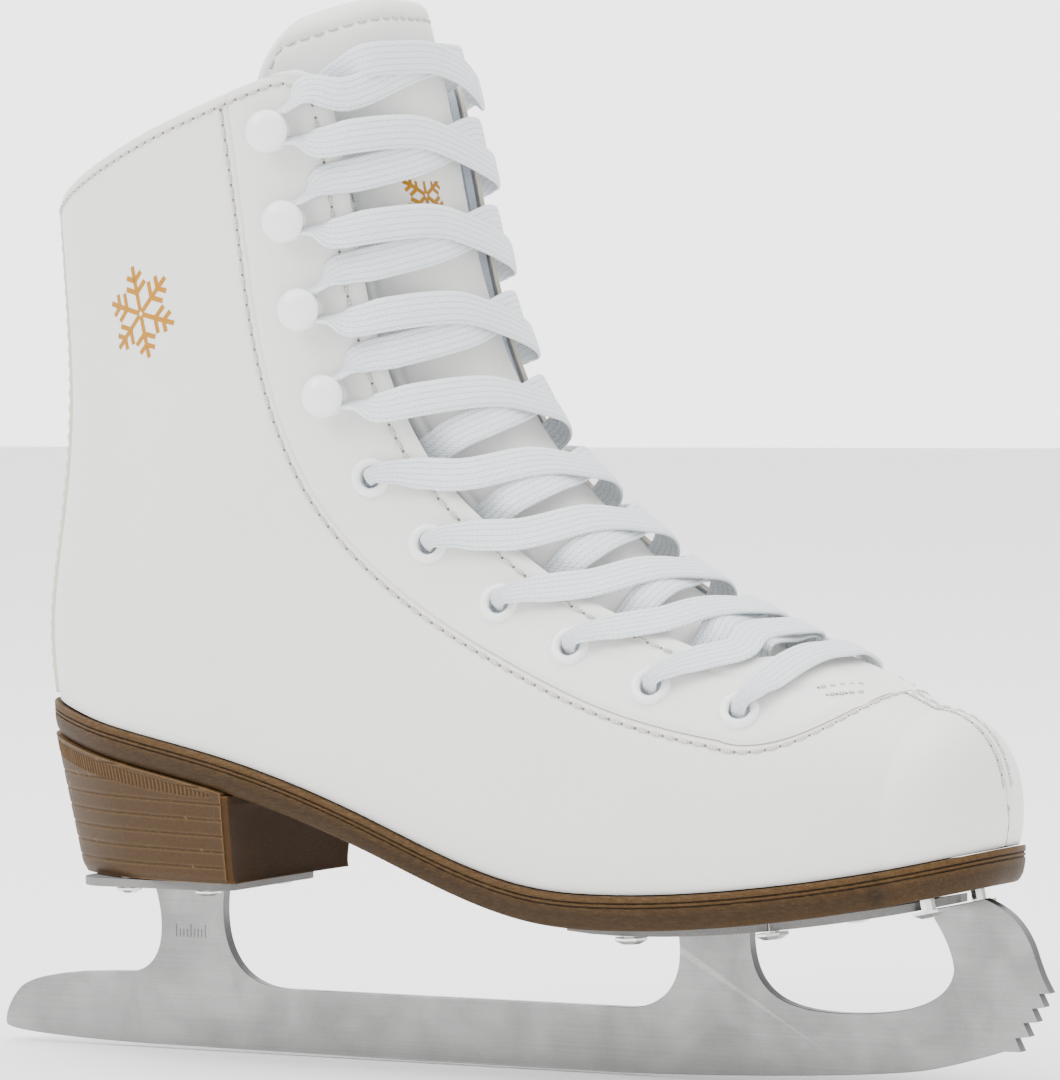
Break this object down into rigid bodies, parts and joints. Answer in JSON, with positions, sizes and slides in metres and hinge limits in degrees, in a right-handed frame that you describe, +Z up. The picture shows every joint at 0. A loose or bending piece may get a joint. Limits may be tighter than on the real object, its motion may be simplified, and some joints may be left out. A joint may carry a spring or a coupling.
{
  "type": "figure skate",
  "caption": "Lace-up ladies' figure skate boot for the right foot, with hooks and eyelets, a padded tongue, a stacked heel and a toe-picked steel blade.",
  "frame": {"origin": "middle of the underside of the whole skate's bounding box, level with the blade's flat bottom edge", "axes": "+X from heel to toe along the blade, +Y to the inner (medial) side of the right foot, +Z up"},
  "size_m": [0.2886, 0.088, 0.2552],
  "materials": {
    "white_leather": "fine grained, satin",
    "trim": "white with cream raw edges",
    "lining_fabric": "brushed textile",
    "foam": "matt",
    "stiffener": "matt",
    "padding": "matt",
    "lace_yarn": "woven",
    "aglet_film": "gloss",
    "enamel": "white enamel, gloss",
    "sole_brown": "satin brown",
    "breast_brown": "satin dark brown",
    "blade_steel": "brushed",
    "shank_steel": "plain",
    "screw_steel": "bright nickel plating"
  },
  "bodies": {
    "boot": {"quarter_lateral": "white_leather", "quarter_medial": "white_leather", "eyestay": "white_leather", "back_stay": "trim", "lining_lateral": "lining_fabric", "lining_medial": "lining_fabric", "footbed": "foam", "heel_counter": "stiffener", "toe_puff": "stiffener", "insole_board": "stiffener", "ankle_padding_lateral": "padding", "ankle_padding_medial": "padding", "lace": "lace_yarn", "aglet_1": "aglet_film", "aglet_2": "aglet_film", "eyelet_lateral_1": "enamel", "eyelet_lateral_2": "enamel", "eyelet_lateral_3": "enamel", "eyelet_lateral_4": "enamel", "eyelet_lateral_5": "enamel", "eyelet_lateral_6": "enamel", "eyelet_medial_1": "enamel", "eyelet_medial_2": "enamel", "eyelet_medial_3": "enamel", "eyelet_medial_4": "enamel", "eyelet_medial_5": "enamel", "eyelet_medial_6": "enamel", "hook_lateral_1": "enamel", "hook_lateral_2": "enamel", "hook_lateral_3": "enamel", "hook_lateral_4": "enamel", "hook_medial_1": "enamel", "hook_medial_2": "enamel", "hook_medial_3": "enamel", "hook_medial_4": "enamel", "sole_unit": "sole_brown", "heel_block": "sole_brown", "heel_breast": "breast_brown", "blade_runner": "blade_steel", "sole_plate": "blade_steel", "heel_plate": "blade_steel", "steel_shank": "shank_steel", "heel_screw_1": "screw_steel", "heel_screw_2": "screw_steel", "heel_screw_3": "screw_steel", "heel_screw_4": "screw_steel", "sole_screw_1": "screw_steel", "sole_screw_2": "screw_steel", "sole_screw_3": "screw_steel", "sole_screw_4": "screw_steel", "sole_screw_5": "screw_steel", "sole_screw_6": "screw_steel"},
    "tongue": {"tongue_cover": "white_leather", "tongue_foam": "foam", "tongue_lining": "lining_fabric"}
  },
  "joints": [
    {"name": "tongue_hinge", "type": "hinge", "parent": "boot", "child": "tongue", "pos_m": [0.0824, 0, 0.0887], "axis": [0, -1, 0], "range_deg": [0, 10], "stiffness_Nm_per_rad": 0.3, "springref_deg": -8.59}
  ]
}
